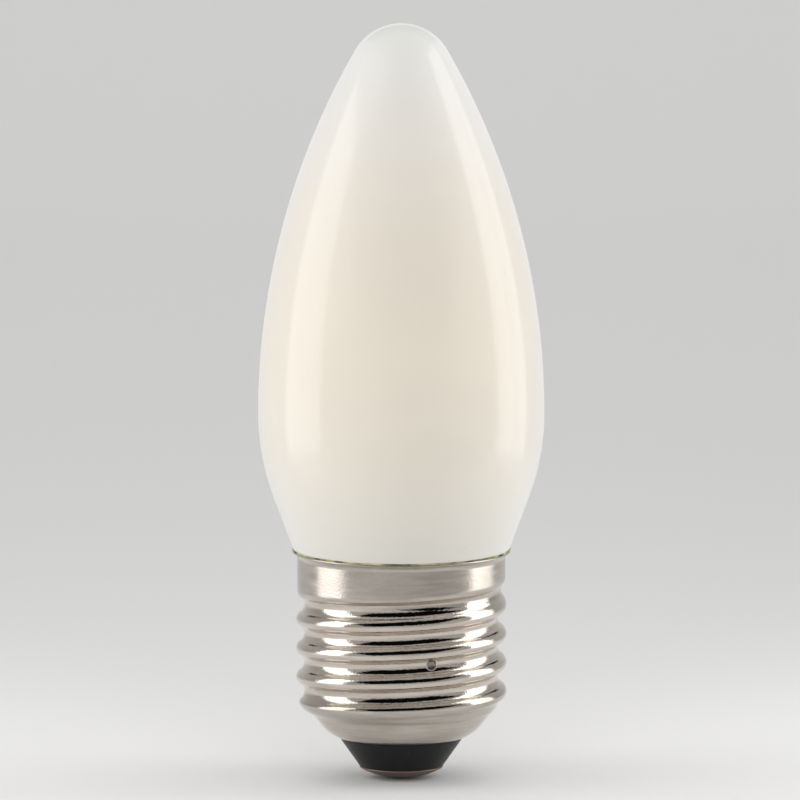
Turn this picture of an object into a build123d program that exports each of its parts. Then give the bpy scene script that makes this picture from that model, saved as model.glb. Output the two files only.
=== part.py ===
from build123d import *
import os
from math import asin, atan2, cos, degrees, pi, radians, sin, sqrt, tan

# Sizes in millimetres. The lamp stands on +Z, with its origin at the tip of the centre contact.

# Glass bulb
overall_length = 95.2
bulb_diameter = 35.8
tip_radius = 6.65
ogive_radius = 92.5
ogive_bands = 8
shoulder_radius = 30.3
shoulder_bands = 2
base_cone_angle = 20.0
neck_diameter = 22.9
neck_slope = 45.0

# Screw shell, one rolled sheet
sheet = 0.35
eye_diameter = 15.5
bowl_radius = 5.5
bowl_diameter = 21.8
bowl_height = 3.0
shoulder_roll = 3.3
thread_major_diameter = 26.3
thread_minor_diameter = 24.1
thread_pitch = 25.4 / 7
thread_length = 11.6
skirt_step = 0.6
skirt_diameter = 26.0
skirt_length = 4.1
lip_diameter = 27.3
lip_length = 1.2
bore_start = 2.25
bore_flare = 1.2

# Groove of the thread, which rises out of the sheet at both ends
groove_floor = 0.9
groove_flank_angle = 47.0
crest_round = 0.35
crest_round_drop = 0.2
crest_over = 0.06
groove_rise = 2.45
groove_top_angle = 180.0
groove_half_turns = 10
groove_fade_in = 0.7
groove_fade_out = 0.95
groove_bore_cover = 0.95
groove_clear = 0.15
roller_lift = 1.2
points_per_half_turn = 10

# Stake mark punched into the groove's floor, in turns down from the groove's upper end
stake_diameter = 1.1
stake_depth = 0.2
stake_turns = 2.7

# Cement
cement_line = 0.15
cement_recess = 0.1
cement_film = 0.15

# Insulator and centre contact
contact_diameter = 10.4
contact_dome = 1.35
contact_edge = 0.15
insulator_cone = 3.65
insulator_collar = 0.5

# Radii, and levels from the contact's tip up
bulb_r = bulb_diameter / 2
neck_r = neck_diameter / 2
major_r = thread_major_diameter / 2
minor_r = thread_minor_diameter / 2
skirt_r = skirt_diameter / 2
lip_r = lip_diameter / 2
bowl_r = bowl_diameter / 2
eye_r = eye_diameter / 2
contact_r = contact_diameter / 2
contact_top = contact_dome + contact_edge
eye_z = contact_top + insulator_cone
bowl_z = eye_z + bowl_height
bore_bottom = bowl_z + bore_start
plug_top = bore_bottom + insulator_collar
roll_z = bowl_z + sqrt(shoulder_roll**2 - (bowl_r - major_r + shoulder_roll) ** 2)
thread_top = roll_z + thread_length
skirt_bottom = thread_top + skirt_step
skirt_top = skirt_bottom + skirt_length
lip_top = skirt_top + lip_length
rim_z = lip_top + cement_line
groove_top = skirt_bottom + groove_rise
bore_top = groove_top - groove_bore_cover
cement_bottom = bore_top + bore_flare


def turned(*outline):
    """Solid turned about the lamp's axis from edges drawn as radius and height, each its own face."""
    return revolve(Plane.XZ * make_face(outline), Axis.Z, clean=False)


def chain(*points):
    """Straight edges through points given as radius and height."""
    return Polyline(*points)


def bowl_centre():
    """Centre of the arc of the shell's lower end, inside the cap."""
    run = bowl_r - eye_r
    half_chord = sqrt(run**2 + bowl_height**2) / 2
    away = sqrt(bowl_radius**2 - half_chord**2) / (2 * half_chord)
    return ((eye_r + bowl_r) / 2 - bowl_height * away, (eye_z + bowl_z) / 2 + run * away)


def bowl_radius_at(z):
    """Radius of the lower end's outer arc at a height."""
    centre_r, centre_z = bowl_centre()
    return centre_r + sqrt(bowl_radius**2 - (z - centre_z) ** 2)


def bowl_arc():
    """Outer arc of the shell's lower end, from the eye up to the rolled shoulder."""
    middle_z = (eye_z + bowl_z) / 2
    return ThreePointArc((eye_r, eye_z), (bowl_radius_at(middle_z), middle_z), (bowl_r, bowl_z))


def toward_bowl_centre(point, distance):
    """The point that lies a distance inside the sheet's outer face at the lower end."""
    centre = Vector(*bowl_centre())
    moved = Vector(*point) + (centre - Vector(*point)).normalized() * distance
    return (moved.X, moved.Y)


def blank_radius(z):
    """Outer radius of the shell before its groove is rolled, at a height from the eye to the lip."""
    if z < bowl_z:
        return bowl_radius_at(z)
    if z < roll_z:
        return major_r - shoulder_roll + sqrt(shoulder_roll**2 - (z - roll_z) ** 2)
    return major_r + (skirt_r - major_r) * min(max((z - thread_top) / skirt_step, 0), 1)


# Corners that two pieces share: the inside of the shell, and the underside of the glass
eye_outside = (eye_r, eye_z)
eye_inside = toward_bowl_centre(eye_outside, sheet)
bowl_inside = toward_bowl_centre((bowl_r, bowl_z), sheet)
bore_r = minor_r - sheet
skirt_bore_r = skirt_r - sheet
lip_bore_r = lip_r - sheet
ledge_inner_r = lip_bore_r - cement_film
neck_top = lip_top - (ledge_inner_r - neck_r) / tan(radians(neck_slope))


def belly_height():
    """Height of the widest place, where the ogive and the shoulder meet upright."""
    rise = sqrt((ogive_radius - tip_radius) ** 2 - (ogive_radius - bulb_r) ** 2)
    return overall_length - tip_radius - rise


def rim_radius(z):
    """Radius of the glass's straight cone at a height."""
    shoulder_z = belly_height() - shoulder_radius * sin(radians(base_cone_angle))
    shoulder_r = bulb_r - shoulder_radius * (1 - cos(radians(base_cone_angle)))
    return shoulder_r - (shoulder_z - z) * tan(radians(base_cone_angle))


def glass_bulb():
    """The sealed bulb as one solid: tip, ogive, shoulder, cone, and a neck down to the insulator."""
    belly_z = belly_height()
    tip_centre_z = overall_length - tip_radius
    tip_angle = degrees(atan2(tip_centre_z - belly_z, ogive_radius - bulb_r))
    tip = CenterArc((0, tip_centre_z), tip_radius, tip_angle, 90 - tip_angle)
    step = tip_angle / ogive_bands
    ogive_centre = (bulb_r - ogive_radius, belly_z)
    ogive = [CenterArc(ogive_centre, ogive_radius, i * step, step) for i in range(ogive_bands)]
    drop = base_cone_angle / shoulder_bands
    shoulder = [
        CenterArc((bulb_r - shoulder_radius, belly_z), shoulder_radius, -(i + 1) * drop, drop)
        for i in range(shoulder_bands)
    ]
    underside = chain(
        shoulder[-1] @ 0,
        (rim_radius(rim_z), rim_z),
        (ledge_inner_r, lip_top),
        (neck_r, neck_top),
        (neck_r, plug_top),
        (0, plug_top),
        (0, overall_length),
    )
    return turned(tip, *ogive, *shoulder, underside)


def ledge_height(r):
    """Height of the glass's narrow ledge over the lip, at a radius."""
    outer = rim_radius(rim_z)
    return rim_z - cement_line * (outer - r) / (outer - ledge_inner_r)


def basing_cement():
    """Ring of cement that fills the skirt round the neck and shows as a line over the lip."""
    bead_r = lip_r - cement_recess
    return turned(
        chain(
            (neck_r, cement_bottom),
            (skirt_bore_r, cement_bottom),
            (skirt_bore_r, skirt_top),
            (lip_bore_r, lip_top),
            (bead_r, lip_top),
            (bead_r, ledge_height(bead_r)),
            (ledge_inner_r, lip_top),
            (neck_r, neck_top),
            (neck_r, cement_bottom),
        )
    )


def shell_blank():
    """The sheet before rolling: lower end, rolled shoulder, thread cylinder, skirt and flared lip."""
    roll_angle = degrees(atan2(bowl_z - roll_z, bowl_r - major_r + shoulder_roll))
    return turned(
        bowl_arc(),
        CenterArc((major_r - shoulder_roll, roll_z), shoulder_roll, roll_angle, -roll_angle),
        chain(
            (major_r, roll_z),
            (major_r, thread_top),
            (skirt_r, skirt_bottom),
            (skirt_r, skirt_top),
            (lip_r, lip_top),
            (lip_bore_r, lip_top),
            (skirt_bore_r, skirt_top),
            (skirt_bore_r, cement_bottom),
            (bore_r, bore_top),
            (bore_r, bore_bottom),
            bowl_inside,
            eye_inside,
            eye_outside,
        ),
    )


def smooth(share):
    """Goes from 0 to 1 with level ends as the share goes from 0 to 1."""
    share = min(max(share, 0), 1)
    return share * share * (3 - 2 * share)


def groove_corner(offset, depth, lift, turn):
    """Point of one corner of the groove, a number of turns from its upper end, negative downwards."""
    z = groove_top + thread_pitch * turn + offset
    fade = smooth((groove_half_turns / 2 + turn) / groove_fade_in) * smooth(-turn / groove_fade_out)
    r = blank_radius(z) + groove_clear + lift - (depth + groove_clear) * fade
    angle = radians(groove_top_angle) + 2 * pi * turn
    return (r * cos(angle), r * sin(angle), z)


def groove_edge(offset, depth, lift=0):
    """One long corner of the groove, a right-hand helix, as a chain of half turns from the lower end up."""
    count = points_per_half_turn
    turns = [i / (2 * count) - groove_half_turns / 2 for i in range(groove_half_turns * count + 1)]
    points = [groove_corner(offset, depth, lift, turn) for turn in turns]
    return [Edge.make_spline(points[k : k + count + 1]) for k in range(0, len(points) - 1, count)]


def thread_groove():
    """What the rolling presses in: a flat floor, two steep flanks and two eased crest edges."""
    depth = major_r - minor_r
    floor = groove_floor / 2
    flank_end = floor + (depth - crest_round_drop) / tan(radians(groove_flank_angle))
    crest = flank_end + crest_round
    half = [(crest, -crest_over), (flank_end, crest_round_drop), (floor, depth)]
    section = [(-offset, drop) for offset, drop in half] + half[::-1]
    edges = [groove_edge(offset, drop) for offset, drop in section]
    edges += [groove_edge(side * crest, -groove_clear, roller_lift) for side in (1, -1)]
    faces = [Face(Wire.make_polygon([edge[end] @ abs(end) for edge in edges])) for end in (0, -1)]
    for near, far in zip(edges, edges[1:] + edges[:1]):
        faces += [Face.make_surface_from_curves(a, b) for a, b in zip(near, far)]
    return Solid(Shell(faces))


def screw_shell():
    """Nickel-plated shell with its thread and the stake mark punched into the groove."""
    ball_r = (stake_diameter**2 / 4 + stake_depth**2) / (2 * stake_depth)
    ball_z = groove_top - thread_pitch * stake_turns
    turn = Location((0, 0, ball_z), (0, 0, groove_top_angle - 360 * stake_turns))
    stake = turn * Pos(minor_r - stake_depth + ball_r, 0, 0) * Sphere(ball_r)
    return shell_blank() - thread_groove() - stake


def insulator():
    """Black cone under the shell, with the plug that fills the shell's lower end."""
    return turned(
        chain(
            (0, contact_top),
            (contact_r, contact_top),
            eye_outside,
            eye_inside,
            bowl_inside,
            (bore_r, bore_bottom),
            (bore_r, plug_top),
            (0, plug_top),
            (0, contact_top),
        )
    )


def centre_contact():
    """Domed contact disc with a thin straight edge."""
    ball_r = (contact_r**2 + contact_dome**2) / (2 * contact_dome)
    return turned(
        CenterArc((0, ball_r), ball_r, -90, degrees(asin(contact_r / ball_r))),
        chain((contact_r, contact_dome), (contact_r, contact_top), (0, contact_top), (0, 0)),
    )


pieces = {
    "glass_bulb": glass_bulb(),
    "basing_cement": basing_cement(),
    "screw_shell": screw_shell(),
    "insulator": insulator(),
    "centre_contact": centre_contact(),
}

os.makedirs("parts", exist_ok=True)
for name, piece in pieces.items():
    export_step(piece, f"parts/{name}.step")
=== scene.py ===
import math

import bpy
import numpy as np
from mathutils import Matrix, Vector


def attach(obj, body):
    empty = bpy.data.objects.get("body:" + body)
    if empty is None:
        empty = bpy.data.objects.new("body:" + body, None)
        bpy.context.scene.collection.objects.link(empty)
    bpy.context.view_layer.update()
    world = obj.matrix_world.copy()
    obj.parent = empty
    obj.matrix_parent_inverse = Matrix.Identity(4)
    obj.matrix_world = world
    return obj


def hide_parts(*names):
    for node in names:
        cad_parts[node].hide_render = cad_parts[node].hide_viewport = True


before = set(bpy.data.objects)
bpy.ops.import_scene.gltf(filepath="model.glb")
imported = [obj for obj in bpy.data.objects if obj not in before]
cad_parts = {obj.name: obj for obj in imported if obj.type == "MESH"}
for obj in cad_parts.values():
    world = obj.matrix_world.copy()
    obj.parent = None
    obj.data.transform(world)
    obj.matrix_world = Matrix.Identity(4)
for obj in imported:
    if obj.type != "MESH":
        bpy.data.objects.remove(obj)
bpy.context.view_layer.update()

MM = 0.001
TURN = 2 * math.pi

# Glass bulb, in millimetres from the contact's tip
LENGTH = 95.2
BULB_R = 17.889
TIP_R = 6.65
OGIVE_R = 92.5
SHOULDER_R = 30.3
BASE_ANGLE = math.radians(20.0)
NECK_R = 11.45
RIM_ROUND = 0.16
BELLY_Z = LENGTH - TIP_R - math.sqrt((OGIVE_R - TIP_R) ** 2 - (OGIVE_R - BULB_R) ** 2)

# Screw shell
SHEET = 0.35
EYE_R, EYE_Z = 7.75, 5.15
BOWL_R, BOWL_Z, BOWL_ARC = 10.9, 8.15, 5.5
BOWL_POINTS, ROLL_POINTS = 26, 36
EASED_ROWS, EASE_PASSES = (18, 36), 40
MAJOR_R = 13.15
ROLL_R = 2.6
ROLL_Z = BOWL_Z + math.sqrt(ROLL_R**2 - (BOWL_R - MAJOR_R + ROLL_R) ** 2)
PITCH = 25.4 / 7
GROOVE_DEPTH = 1.03
CREST_PINCH, CREST_LEAN = 0.08, 0.1
THREAD_TOP = 22.878
SKIRT_R = 13.0
SKIRT_INSIDE = SKIRT_R - SHEET
SKIRT_BOTTOM = THREAD_TOP + 0.6
SKIRT_TOP = SKIRT_BOTTOM + 4.1
LIP_R = 13.65
LIP_TOP = SKIRT_TOP + 1.2
FLARE_Z = SKIRT_TOP + 0.25
LEDGE_R = LIP_R - SHEET - 0.15
RIM_Z = LIP_TOP + 0.15
NECK_TOP = LIP_TOP - (LEDGE_R - NECK_R)
GROOVE_TOP = SKIRT_BOTTOM + 2.08
GROOVE_TURNS = 5.0
FADE_IN, FADE_OUT = 0.8, 0.95
FADE_TILT = 0.7
BORE_R = 11.7
BORE_TOP = SKIRT_BOTTOM + 1.5
BORE_BOTTOM = BOWL_Z + 2.25
CEMENT_FOOT = BORE_TOP + 1.2

# Stake mark: its wall and rim are in shares of its radius
STAKE_TURNS = 2.7
STAKE_ANGLE = math.pi - TURN * STAKE_TURNS
STAKE_Z = GROOVE_TOP - PITCH * STAKE_TURNS + 0.17
STAKE_ARC_R = MAJOR_R - 1.1
STAKE_R = 0.55
STAKE_DEPTH = 0.2
STAKE_WALL_END, STAKE_WALL = 1.1, 0.22
STAKE_RIM_AT, STAKE_RIM_WIDTH = 1.2, 0.1
STAKE_RIM = 0.05
STAKE_REACH, STAKE_FADE = 0.7, 0.25
STAKE_PATCH = 0.9
STAKE_CLOSE, STAKE_CLEAR = 4.5, 4.8

# Insulator and contact
PLUG_TOP = BORE_BOTTOM + 0.5
CONTACT_R = 5.2
CONTACT_DOME = 1.35
CONTACT_TOP = 1.5


def surface(name, x, y, z, ring=False, poles=False):
    """Mesh of a grid of points in millimetres.

    Rows run along a profile, and columns run round the axis and close. With ring the last row joins the
    first, and with poles the first and last rows are single points.
    """
    rows, cols = x.shape
    points = np.stack([x, y, z], axis=-1) * MM
    index = np.arange(rows * cols).reshape(rows, cols)
    if poles:
        index[0, :] = index[0, 0]
        index[-1, :] = index[-1, 0]
    low, high = index, np.roll(index, -1, axis=0)
    if not ring:
        low, high = index[:-1], index[1:]
    next_low, next_high = np.roll(low, -1, axis=1), np.roll(high, -1, axis=1)
    quads = np.stack([low, next_low, next_high, high], axis=-1).reshape(-1, 4)
    used, flat = np.unique(quads, return_inverse=True)
    faces = [tuple(dict.fromkeys(corners)) for corners in flat.reshape(-1, 4).tolist()]
    mesh = bpy.data.meshes.new(name)
    mesh.from_pydata(points.reshape(-1, 3)[used].tolist(), [], faces)
    mesh.polygons.foreach_set("use_smooth", np.ones(len(mesh.polygons), dtype=bool))
    mesh.update()
    piece = bpy.data.objects.new(name, mesh)
    bpy.context.collection.objects.link(piece)
    return piece


def turned(name, profile, cols):
    """Surface of revolution: each profile point (radius, height) goes round the axis at even angles.

    The profile starts and ends on the axis.
    """
    angle = np.linspace(0, TURN, cols, endpoint=False)[None, :]
    r, z = profile[:, :1], profile[:, 1:]
    return surface(name, r * np.cos(angle), r * np.sin(angle), z + 0 * angle, poles=True)


def arc(centre, radius, start, end, count):
    """Profile points on a circle about a centre, from one angle to another, in radians."""
    angle = np.linspace(start, end, count)
    return np.stack([centre[0] + radius * np.cos(angle), centre[1] + radius * np.sin(angle)], axis=1)


def line(a, b, count):
    """Profile points evenly spaced on a straight run, both ends included."""
    share = np.linspace(0, 1, count)[:, None]
    return np.array(a) * (1 - share) + np.array(b) * share


def joined(*runs):
    """Runs of profile points one after another, with each shared end kept once."""
    points = np.concatenate(runs)
    step = np.linalg.norm(np.diff(points, axis=0), axis=1)
    return points[np.concatenate([[True], step > 1e-6])]


def glass_profile():
    """From the foot of the neck up: neck, slope, rounded rim, cone, shoulder arc, ogive arc and tip arc."""
    end_r = BULB_R - SHOULDER_R * (1 - math.cos(BASE_ANGLE))
    end_z = BELLY_Z - SHOULDER_R * math.sin(BASE_ANGLE)
    rim_r = end_r - (end_z - RIM_Z) * math.tan(BASE_ANGLE)
    tip_z = LENGTH - TIP_R
    tip_angle = math.atan2(tip_z - BELLY_Z, OGIVE_R - BULB_R)
    centre = (rim_r - RIM_ROUND * 1.15, RIM_Z + RIM_ROUND * 0.8)
    return joined(
        line((0, PLUG_TOP), (NECK_R, PLUG_TOP), 8),
        line((NECK_R, PLUG_TOP), (NECK_R, NECK_TOP), 8),
        line((NECK_R, NECK_TOP), (LEDGE_R, LIP_TOP), 8),
        arc(centre, RIM_ROUND, -1.75, -BASE_ANGLE, 10),
        line((rim_r + 0.1 * math.tan(BASE_ANGLE), RIM_Z + 0.25), (end_r, end_z), 30),
        arc((BULB_R - SHOULDER_R, BELLY_Z), SHOULDER_R, -BASE_ANGLE, 0, 50),
        arc((BULB_R - OGIVE_R, BELLY_Z), OGIVE_R, 0, tip_angle, 150),
        arc((0, tip_z), TIP_R, tip_angle, math.pi / 2, 50),
    )


def smooth(share):
    """Goes from 0 to 1 with level ends."""
    share = np.clip(share, 0, 1)
    return share * share * (3 - 2 * share)


def groove_drop(angle, z):
    """How deep the rolled groove lies under the blank at an angle and height.

    The section is two equal circular arcs, hollow in the groove and round on the crest, that meet on the
    flanks. Crests are pinched a little narrower than grooves and lean down. The depth rises from nothing over
    the lowest FADE_IN turns, sooner on the upper side, and dies away over the top FADE_OUT.
    """
    turns = (angle - math.pi) / TURN
    turn = turns + np.round((z - GROOVE_TOP) / PITCH - turns)
    above = (z - GROOVE_TOP) / PITCH - turn
    wave = TURN * above - CREST_PINCH * np.sin(TURN * above) + CREST_LEAN * (1 - np.cos(TURN * above))
    across = PITCH * np.abs(np.mod(wave / TURN + 0.5, 1) - 0.5)
    reach = PITCH / 4
    radius = reach / math.sin(2 * math.atan(2 * GROOVE_DEPTH / PITCH))
    groove = GROOVE_DEPTH - radius + np.sqrt(radius**2 - np.minimum(across, reach) ** 2)
    crest = radius - np.sqrt(radius**2 - np.minimum(PITCH / 2 - across, reach) ** 2)
    drop = np.where(across < reach, groove, crest)
    start = smooth((GROOVE_TURNS + turn + FADE_TILT * above) / FADE_IN)
    return drop * start * smooth(-turn / FADE_OUT)


def stake_drop(angle, z):
    """How deep the punched stake mark lies under the groove's floor at an angle and height.

    A smooth step with the distance from its middle gives a flat floor and a steep wall, and a bell curve
    gives the slightly raised rim. Both fade out where the flank above starts.
    """
    across = np.mod(angle - STAKE_ANGLE + math.pi, TURN) - math.pi
    away = np.hypot(across * STAKE_ARC_R, z - STAKE_Z) / STAKE_R
    pit = STAKE_DEPTH * smooth((STAKE_WALL_END - away) / STAKE_WALL)
    rim = STAKE_RIM * np.exp(-(((away - STAKE_RIM_AT) / STAKE_RIM_WIDTH) ** 2))
    return (pit - rim) * smooth((STAKE_REACH - z + STAKE_Z) / STAKE_FADE)


def shell_profile():
    """Section of the sheet in two runs: up the outside, from the eye to the lip's edge, and down inside.

    Repeated averaging of neighbours eases the corner where the bowl meets the shoulder.
    """
    run, rise = BOWL_R - EYE_R, BOWL_Z - EYE_Z
    half = math.hypot(run, rise) / 2
    away = math.sqrt(BOWL_ARC**2 - half**2) / (2 * half)
    centre = ((EYE_R + BOWL_R) / 2 - rise * away, (EYE_Z + BOWL_Z) / 2 + run * away)
    from_angle = math.atan2(EYE_Z - centre[1], EYE_R - centre[0])
    to_angle = math.atan2(BOWL_Z - centre[1], BOWL_R - centre[0])
    roll_angle = math.atan2(BOWL_Z - ROLL_Z, BOWL_R - MAJOR_R + ROLL_R)
    eye_inside = (EYE_R - SHEET * math.cos(from_angle), EYE_Z - SHEET * math.sin(from_angle))
    share = np.linspace(0, 1, 16)[:, None]
    edge = LIP_TOP - SHEET / 2
    flare = np.hstack([SKIRT_R + (LIP_R - SKIRT_R) * share**1.5, FLARE_Z + (edge - FLARE_Z) * share])
    outside = joined(
        arc(centre, BOWL_ARC, from_angle, to_angle, BOWL_POINTS),
        arc((MAJOR_R - ROLL_R, ROLL_Z), ROLL_R, roll_angle, 0, ROLL_POINTS),
        line((MAJOR_R, ROLL_Z), (MAJOR_R, STAKE_Z - STAKE_PATCH), 46),
        line((MAJOR_R, STAKE_Z - STAKE_PATCH), (MAJOR_R, STAKE_Z + STAKE_PATCH), 46),
        line((MAJOR_R, STAKE_Z + STAKE_PATCH), (MAJOR_R, THREAD_TOP), 56),
        line((MAJOR_R, THREAD_TOP), (SKIRT_R, SKIRT_BOTTOM), 8),
        line((SKIRT_R, SKIRT_BOTTOM), (SKIRT_R, FLARE_Z), 40),
        flare,
        arc((LIP_R - SHEET / 2, edge), SHEET / 2, 0, math.pi, 13),
    )
    first, last = EASED_ROWS
    for _ in range(EASE_PASSES):
        outside[first:last] = (outside[first - 1 : last - 1] + outside[first + 1 : last + 1]) / 2
    inside = joined(
        line((SKIRT_INSIDE, SKIRT_TOP), (SKIRT_INSIDE, CEMENT_FOOT), 3),
        line((BORE_R, BORE_TOP), (BORE_R, BORE_BOTTOM), 3),
        line((BOWL_R - SHEET * math.cos(to_angle), BOWL_Z - SHEET * math.sin(to_angle)), eye_inside, 8),
    )
    return outside, inside


def screw_shell():
    """The section goes round the axis, and its outside is pressed in by the groove and the stake mark.

    Columns stand closer together near the stake mark.
    """
    outside, inside = shell_profile()
    at_angle = np.mod(STAKE_ANGLE, TURN)
    even = np.linspace(0, TURN, 300, endpoint=False)
    close = at_angle + np.radians(np.linspace(-STAKE_CLOSE, STAKE_CLOSE, 37))
    clear = even[np.abs(even - at_angle) > np.radians(STAKE_CLEAR)]
    angle = np.sort(np.concatenate([clear, close]))[None, :]
    r, z = outside[:, :1], outside[:, 1:]
    pressed = r - groove_drop(angle, z) - stake_drop(angle, z)
    r = np.vstack([pressed, inside[:, :1] + 0 * angle])
    z = np.vstack([z, inside[:, 1:]]) + 0 * angle
    return surface("threaded_shell", r * np.cos(angle), r * np.sin(angle), z, ring=True)


def cement_bead():
    """Ring section of the cement, whose shown edge creeps out over the lip and back by a sum of sines."""
    angle = np.linspace(0, TURN, 360, endpoint=False)[None, :]
    creep = 0.06 * np.cos(2 * angle) + 0.035 * np.sin(11 * angle + 2.0) + 0.025 * np.sin(29 * angle)
    edge = LIP_R - 0.08
    section = joined(
        line((NECK_R, CEMENT_FOOT), (SKIRT_INSIDE, CEMENT_FOOT), 3),
        line((SKIRT_INSIDE, SKIRT_TOP), (LIP_R - SHEET, LIP_TOP - 0.03), 4),
        line((edge, LIP_TOP - 0.03), (edge, RIM_Z + 0.02), 5),
        line((LEDGE_R, LIP_TOP + 0.02), (NECK_R, NECK_TOP), 4),
        line((NECK_R, NECK_TOP), (NECK_R, BORE_TOP + 1.3), 3),
    )
    r, z = section[:, :1], section[:, 1:]
    r = r + smooth((r - edge + 0.12) / 0.1) * creep
    return surface("cement_bead", r * np.cos(angle), r * np.sin(angle), z + 0 * angle, ring=True)


def insulator_cone():
    """Cone from the contact to the shell's eye with eased edges, and the plug inside the lower end."""
    slope = math.atan2(EYE_Z - CONTACT_TOP, EYE_R - CONTACT_R)
    ease = 0.12
    turn_centre = (CONTACT_R - ease * 0.55, CONTACT_TOP + ease)
    profile = joined(
        line((0, CONTACT_TOP), (CONTACT_R - ease, CONTACT_TOP), 6),
        arc(turn_centre, ease, -math.pi / 2, slope - math.pi / 2, 6),
        line((CONTACT_R + 0.15, CONTACT_TOP + 0.25), (EYE_R - 0.06, EYE_Z - 0.08), 24),
        line((EYE_R - 0.05, EYE_Z), (EYE_R - 0.16, EYE_Z + 0.3), 4),
        line((EYE_R - 0.16, EYE_Z + 0.3), (BOWL_R - 0.4, BOWL_Z + 0.2), 8),
        line((BORE_R - 0.01, BORE_BOTTOM), (BORE_R - 0.01, PLUG_TOP), 3),
        line((BORE_R - 0.01, PLUG_TOP), (0, PLUG_TOP), 6),
    )
    return turned("insulator_cone", profile, 160)


def contact_dome():
    """Spherical cap with an eased edge, a thin straight side and a flat back."""
    ball = (CONTACT_R**2 + CONTACT_DOME**2) / (2 * CONTACT_DOME)
    reach = math.asin(CONTACT_R / ball)
    profile = joined(
        arc((0, ball), ball, -math.pi / 2, -math.pi / 2 + reach - 0.004, 48),
        line((CONTACT_R, CONTACT_DOME + 0.02), (CONTACT_R, CONTACT_TOP - 0.01), 4),
        line((CONTACT_R - 0.03, CONTACT_TOP), (0, CONTACT_TOP), 6),
    )
    return turned("contact_dome", profile, 160)


def material(name):
    """New node material with its shader and the Object coordinates ready."""
    made = bpy.data.materials.new(name)
    made.use_nodes = True
    nodes, links = made.node_tree.nodes, made.node_tree.links
    shader = nodes["Principled BSDF"]
    coords = nodes.new("ShaderNodeTexCoord")
    return made, nodes, links, shader, coords.outputs["Object"]


def noise(nodes, links, coords, scale, detail, stretch=None):
    """Noise texture on the given coordinates, squeezed along the axes where a stretch is given."""
    if stretch:
        mapping = nodes.new("ShaderNodeMapping")
        mapping.inputs["Scale"].default_value = stretch
        links.new(coords, mapping.inputs["Vector"])
        coords = mapping.outputs["Vector"]
    texture = nodes.new("ShaderNodeTexNoise")
    texture.inputs["Scale"].default_value = scale
    texture.inputs["Detail"].default_value = detail
    links.new(coords, texture.inputs["Vector"])
    return texture.outputs["Fac"]


def ramp(nodes, links, value, stops, blend="LINEAR"):
    """Colour ramp through stops of (place, colour)."""
    node = nodes.new("ShaderNodeValToRGB")
    band = node.color_ramp
    band.interpolation = blend
    while len(band.elements) < len(stops):
        band.elements.new(0.5)
    for element, (place, colour) in zip(band.elements, stops):
        element.position = place
        element.color = (*colour, 1)
    links.new(value, node.inputs["Fac"])
    return node.outputs["Color"]


def greys(stops):
    """Ramp stops of (place, colour) from stops of (place, shade of grey)."""
    return [(place, (shade, shade, shade)) for place, shade in stops]


def spread(nodes, links, value, low, high, to_low, to_high):
    """Carries a value from one range to another."""
    node = nodes.new("ShaderNodeMapRange")
    for key, number in zip(("From Min", "From Max", "To Min", "To Max"), (low, high, to_low, to_high)):
        node.inputs[key].default_value = number
    links.new(value, node.inputs["Value"])
    return node.outputs["Result"]


def scaled(nodes, links, value, factor):
    """Product of two values."""
    node = nodes.new("ShaderNodeMath")
    node.operation = "MULTIPLY"
    links.new(value, node.inputs[0])
    links.new(factor, node.inputs[1])
    return node.outputs[0]


def shaded(nodes, links, colour, value):
    """Colour times a value."""
    node = nodes.new("ShaderNodeMix")
    node.data_type, node.blend_type = "RGBA", "MULTIPLY"
    node.inputs["Factor"].default_value = 1
    links.new(colour, node.inputs["A"])
    links.new(value, node.inputs["B"])
    return node.outputs["Result"]


def bump(nodes, links, shader, height, distance, strength):
    """Fine relief from a height, in metres."""
    node = nodes.new("ShaderNodeBump")
    node.inputs["Strength"].default_value = strength
    node.inputs["Distance"].default_value = distance
    links.new(height, node.inputs["Height"])
    links.new(node.outputs["Normal"], shader.inputs["Normal"])


def height_of(nodes, links, coords):
    """Height along the lamp's axis, in metres."""
    parts = nodes.new("ShaderNodeSeparateXYZ")
    links.new(coords, parts.inputs["Vector"])
    return parts.outputs["Z"]


def opal_glass():
    """White coated glass, glossy, warm in the middle, neutral at the tip and rim, darker towards the rim as
    painted shade, with a few dust specks.
    """
    made, nodes, links, shader, coords = material("opal_glass")
    rim, tip = 0.028, LENGTH * MM
    up = spread(nodes, links, height_of(nodes, links, coords), rim, tip, 0, 1)
    # The lowest stops darken the glass towards the rim: painted shade.
    tints_and_rim_shade = [
        (0.0, (0.69, 0.675, 0.62)),
        (0.14, (0.785, 0.75, 0.67)),
        (0.4, (0.835, 0.76, 0.635)),
        (0.68, (0.835, 0.775, 0.68)),
        (0.9, (0.84, 0.83, 0.79)),
        (1.0, (0.83, 0.84, 0.81)),
    ]
    tint = ramp(nodes, links, up, tints_and_rim_shade, "B_SPLINE")
    cloud = noise(nodes, links, coords, 60.0, 3.0)
    cells = nodes.new("ShaderNodeTexVoronoi")
    cells.inputs["Scale"].default_value = 170.0
    links.new(coords, cells.inputs["Vector"])
    speck = spread(nodes, links, cells.outputs["Distance"], 0.012, 0.022, 0.5, 1)
    shade = scaled(nodes, links, spread(nodes, links, cloud, 0.3, 0.7, 0.98, 1.01), speck)
    links.new(shaded(nodes, links, tint, shade), shader.inputs["Base Color"])
    links.new(spread(nodes, links, cloud, 0.3, 0.7, 0.12, 0.17), shader.inputs["Roughness"])
    shader.inputs["IOR"].default_value = 1.5
    shader.inputs["Sheen Weight"].default_value = 1.0
    shader.inputs["Sheen Roughness"].default_value = 0.5
    return made


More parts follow.
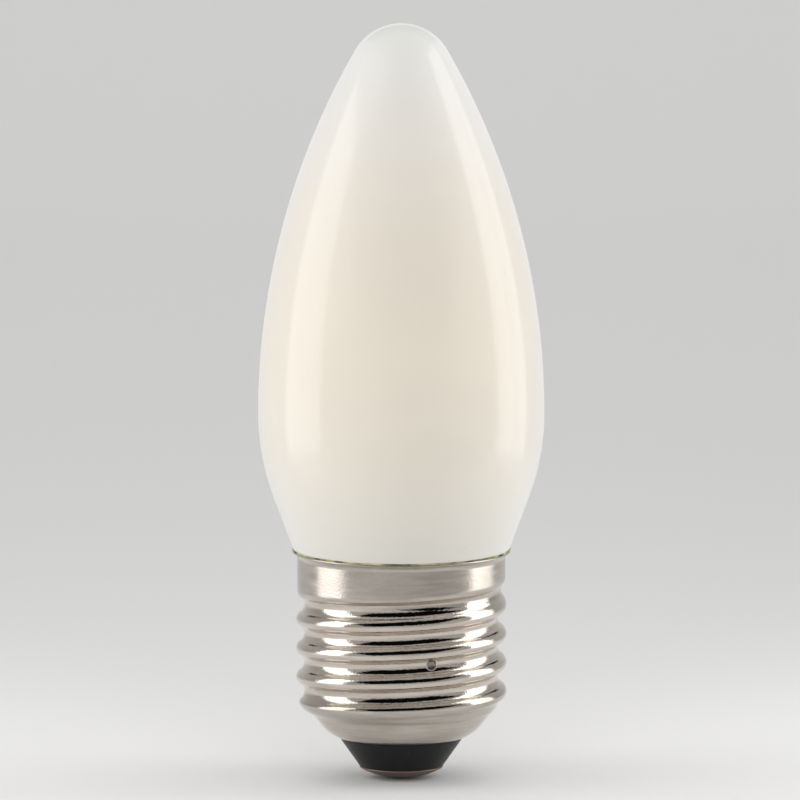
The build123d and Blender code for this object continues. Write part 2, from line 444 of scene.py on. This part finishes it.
def nickel_plate():
    """Bright nickel over rolled sheet: fine draw lines round the axis, a pebbled grain and faint clouding.

    The drawn skirt is rougher than the thread, which the rolls have burnished. The colour is lighter on the
    thread and at the bowl's foot than on the roll and the skirt, which is painted light, and painted shade
    darkens the stake mark's middle.
    """
    made, nodes, links, shader, coords = material("nickel_plate")
    lines = noise(nodes, links, coords, 900.0, 2.0, (0.25, 0.25, 3.0))
    grain = noise(nodes, links, coords, 4200.0, 2.0)
    cloud = noise(nodes, links, coords, 220.0, 4.0)
    tone = ramp(nodes, links, cloud, [(0.25, (0.627, 0.569, 0.504)), (0.75, (0.723, 0.665, 0.60))])
    streak = spread(nodes, links, lines, 0.35, 0.65, 0.9, 1.03)
    height = height_of(nodes, links, coords)
    eye, skirt = 0.005, 0.025
    up = spread(nodes, links, height, eye, skirt, 0, 1)
    # Lighter on the thread and at the bowl's foot by the eye, darker on the roll and the skirt: painted
    # light.
    shades = [(0.0, 1.0), (0.14, 0.9), (0.27, 0.83), (0.36, 0.98), (0.88, 0.98), (0.93, 0.83)]
    tone = shaded(nodes, links, tone, ramp(nodes, links, up, greys(shades)))
    # Darker towards the middle of the stake mark's floor: painted shade in the pit.
    middle = nodes.new("ShaderNodeVectorMath")
    middle.operation = "DISTANCE"
    floor_r = MAJOR_R - GROOVE_DEPTH - STAKE_DEPTH
    place = (floor_r * math.cos(STAKE_ANGLE), floor_r * math.sin(STAKE_ANGLE), STAKE_Z)
    middle.inputs[1].default_value = Vector(place) * MM
    links.new(coords, middle.inputs[0])
    painted_pit_shade = spread(nodes, links, middle.outputs["Value"], 0.0004, 0.0006, 0.42, 1)
    links.new(shaded(nodes, links, tone, scaled(nodes, links, streak, painted_pit_shade)), shader.inputs["Base Color"])
    shader.inputs["Metallic"].default_value = 1
    drawn = spread(nodes, links, height, 0.0235, skirt, 1, 3.6)
    dull = spread(nodes, links, lines, 0.3, 0.7, 0.045, 0.075)
    links.new(scaled(nodes, links, dull, drawn), shader.inputs["Roughness"])
    bump(nodes, links, shader, grain, 0.00003, 0.6)
    return made


def black_insulator():
    """Near-black moulded body with a satin skin and tiny pale specks."""
    made, nodes, links, shader, coords = material("black_insulator")
    grain = noise(nodes, links, coords, 2600.0, 2.0)
    black, speck = (0.007, 0.0065, 0.007), (0.05, 0.045, 0.045)
    tone = ramp(nodes, links, grain, [(0.0, (0.005, 0.0045, 0.005)), (0.70, black), (0.76, speck)])
    links.new(tone, shader.inputs["Base Color"])
    links.new(spread(nodes, links, grain, 0.3, 0.7, 0.32, 0.46), shader.inputs["Roughness"])
    shader.inputs["Specular IOR Level"].default_value = 0.25
    bump(nodes, links, shader, grain, 0.00003, 0.6)
    return made


def tinned_contact():
    """Dull tinned metal, smudged, with a reddish line at its upper edge where the plating is thin."""
    made, nodes, links, shader, coords = material("tinned_contact")
    cloud = noise(nodes, links, coords, 500.0, 4.0)
    tin = ramp(nodes, links, cloud, [(0.3, (0.108, 0.084, 0.074)), (0.7, (0.204, 0.16, 0.14))])
    edge = spread(nodes, links, height_of(nodes, links, coords), 0.00128, 0.00142, 0, 1)
    mix = nodes.new("ShaderNodeMix")
    mix.data_type = "RGBA"
    links.new(edge, mix.inputs["Factor"])
    links.new(tin, mix.inputs["A"])
    mix.inputs["B"].default_value = (0.30, 0.19, 0.155, 1)
    links.new(mix.outputs["Result"], shader.inputs["Base Color"])
    shader.inputs["Metallic"].default_value = 0.85
    links.new(spread(nodes, links, cloud, 0.3, 0.7, 0.34, 0.5), shader.inputs["Roughness"])
    bump(nodes, links, shader, cloud, 0.00004, 0.5)
    return made


def basing_cement():
    """Dry yellow-green cement with a grainy surface, darker in patches, partly its own blotches and partly
    painted shade in the crease between glass and lip.
    """
    made, nodes, links, shader, coords = material("basing_cement")
    grain = noise(nodes, links, coords, 1800.0, 3.0)
    patch = noise(nodes, links, coords, 420.0, 2.0)
    # The darkest stop is partly blotches in the cement and partly painted shade in the crease it fills.
    dark_blotch_and_shade, damp, dry = (0.09, 0.08, 0.05), (0.28, 0.27, 0.13), (0.58, 0.57, 0.30)
    tone = ramp(nodes, links, patch, [(0.38, dark_blotch_and_shade), (0.48, damp), (0.66, dry)])
    links.new(tone, shader.inputs["Base Color"])
    links.new(spread(nodes, links, grain, 0.3, 0.7, 0.75, 0.9), shader.inputs["Roughness"])
    bump(nodes, links, shader, grain, 0.00006, 0.8)
    return made


def dress(piece, finish, node):
    """Gives a piece its finish, parents it to the root body and hides the CAD node it stands in for."""
    piece.data.materials.append(finish)
    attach(piece, "root")
    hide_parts(node)


dress(turned("opal_bulb", glass_profile(), 256), opal_glass(), "glass_bulb")
dress(screw_shell(), nickel_plate(), "screw_shell")
dress(cement_bead(), basing_cement(), "basing_cement")
dress(insulator_cone(), black_insulator(), "insulator")
dress(contact_dome(), tinned_contact(), "centre_contact")


def plain(name, colour, roughness, specular=0.5):
    """Plain matt finish for the studio."""
    made = bpy.data.materials.new(name)
    made.use_nodes = True
    shader = made.node_tree.nodes["Principled BSDF"]
    shader.inputs["Base Color"].default_value = (*colour, 1)
    shader.inputs["Roughness"].default_value = roughness
    shader.inputs["Specular IOR Level"].default_value = specular
    return made


def sweep(name, points, half_width):
    """A profile of (y, z) points carried straight across, in metres."""
    points = np.array(points)
    count = len(points)
    x = np.repeat([-half_width, half_width], count)
    mesh = bpy.data.meshes.new(name)
    grid = np.stack([x, np.tile(points[:, 0], 2), np.tile(points[:, 1], 2)], axis=1)
    near = np.arange(count - 1)
    faces = np.stack([near, near + 1, near + 1 + count, near + count], axis=1)[:, ::-1]
    mesh.from_pydata(grid.tolist(), [], faces.tolist())
    mesh.polygons.foreach_set("use_smooth", np.ones(count - 1, dtype=bool))
    piece = bpy.data.objects.new(name, mesh)
    bpy.context.collection.objects.link(piece)
    return piece


bend = arc((0.45, 0.25), 0.25, -math.pi / 2, 0, 24)
backdrop = sweep("backdrop", np.concatenate([[[-0.6, 0.0]], bend, [[0.70, 1.2]]]), 1.2)
backdrop.data.materials.append(plain("pale_paper", (0.88, 0.88, 0.88), 0.9))


def softbox(name, azimuth, distance, width, height, radiance):
    """Upright area lamp on the floor, at an azimuth in degrees: 0 in front and 90 to the right."""
    light = bpy.data.lights.new(name, "AREA")
    light.shape = "RECTANGLE"
    light.size, light.size_y = width, height
    light.energy = radiance * math.pi * width * height
    holder = bpy.data.objects.new(name, light)
    bpy.context.collection.objects.link(holder)
    a = math.radians(azimuth)
    back = Vector((math.sin(a), -math.cos(a), 0))
    holder.location = back * distance + Vector((0, 0, height / 2))
    holder.rotation_euler = back.to_track_quat("Z", "Y").to_euler()
    holder.visible_camera = False


softbox("left_softbox", -84, 0.15, 0.10, 0.168, 1.75)
softbox("right_softbox_near", 90, 0.15, 0.050, 0.22, 2.0)
softbox("right_softbox_far", 108, 0.15, 0.042, 0.22, 1.5)


def fill(name, place, size, radiance):
    """Broad soft lamp aimed at the middle of the object, left out of reflections, in metres."""
    light = bpy.data.lights.new(name, "AREA")
    light.size = size
    light.energy = radiance * math.pi * size**2
    holder = bpy.data.objects.new(name, light)
    bpy.context.collection.objects.link(holder)
    holder.location = place
    holder.rotation_euler = (Vector(place) - Vector((0, 0, 0.05))).to_track_quat("Z", "Y").to_euler()
    holder.visible_camera = holder.visible_glossy = False


fill("front_fill", (0, -0.7, 0.3), 0.6, 1.5)
fill("top_fill", (0, -0.05, 0.6), 0.5, 0.6)
fill("back_fill", (0, 0.55, 0.5), 0.4, 0.9)


def reflected_only(card):
    """Hides a card from all but reflections."""
    card.visible_camera = card.visible_diffuse = card.visible_transmission = card.visible_shadow = False


FLAG_Z = 0.34


def flag(name, corners):
    """Level black card over the object, with corners (x, y) in metres, that only reflections show."""
    mesh = bpy.data.meshes.new(name)
    points = np.column_stack([corners, np.full(len(corners), FLAG_Z)])
    mesh.from_pydata(points.tolist(), [], [range(len(corners))])
    card = bpy.data.objects.new(name, mesh)
    bpy.context.collection.objects.link(card)
    mesh.materials.append(plain(name, (0.005, 0.005, 0.005), 1.0, specular=0.0))
    reflected_only(card)


flag("front_flag", [(-0.43, -0.215), (-1.6, -2.2), (1.6, -2.2), (0.57, -0.12), (0.12, -0.215)])
flag("back_flag", [(0.22, 0.18), (0.50, 1.0), (-0.50, 1.0), (-0.22, 0.18)])


def floor_card():
    """Grey card on the floor before the object, darkest at its right, that only reflections show."""
    card = sweep("floor_card", [[-0.30, 0.0006], [-0.05, 0.0006]], 0.20)
    made, nodes, links, shader, coords = material("floor_card")
    parts = nodes.new("ShaderNodeSeparateXYZ")
    links.new(coords, parts.inputs["Vector"])
    across = spread(nodes, links, parts.outputs["X"], -0.2, 0.2, 0, 1)
    shades = [(0.0, 0.88), (0.3, 0.82), (0.58, 0.67), (0.82, 0.48), (1.0, 0.78)]
    tone = ramp(nodes, links, across, greys(shades))
    links.new(tone, shader.inputs["Base Color"])
    shader.inputs["Roughness"].default_value = 1.0
    card.data.materials.append(made)
    reflected_only(card)


floor_card()

world = bpy.data.worlds.new("studio")
world.use_nodes = True
world.node_tree.nodes["Background"].inputs["Color"].default_value = (0.47, 0.465, 0.46, 1)
bpy.context.scene.world = world

ELEVATION = math.radians(8.5)
PICTURE = 800
PIXELS_PER_MM = 8.0
AXIS_X, AIM_Z = 401.3, 47.67
camera_data = bpy.data.cameras.new("photo_camera")
camera_data.type = "ORTHO"
camera_data.ortho_scale = PICTURE / PIXELS_PER_MM * MM
camera_data.clip_start, camera_data.clip_end = 0.01, 10
camera = bpy.data.objects.new("photo_camera", camera_data)
bpy.context.collection.objects.link(camera)
aim = Vector(((PICTURE / 2 - AXIS_X) / PIXELS_PER_MM * MM, 0, AIM_Z * MM))
back = Vector((0, -math.cos(ELEVATION), math.sin(ELEVATION)))
camera.location = aim + back * 0.5
camera.rotation_euler = back.to_track_quat("Z", "Y").to_euler()
bpy.context.scene.camera = camera
bpy.context.scene.view_settings.view_transform = "Standard"
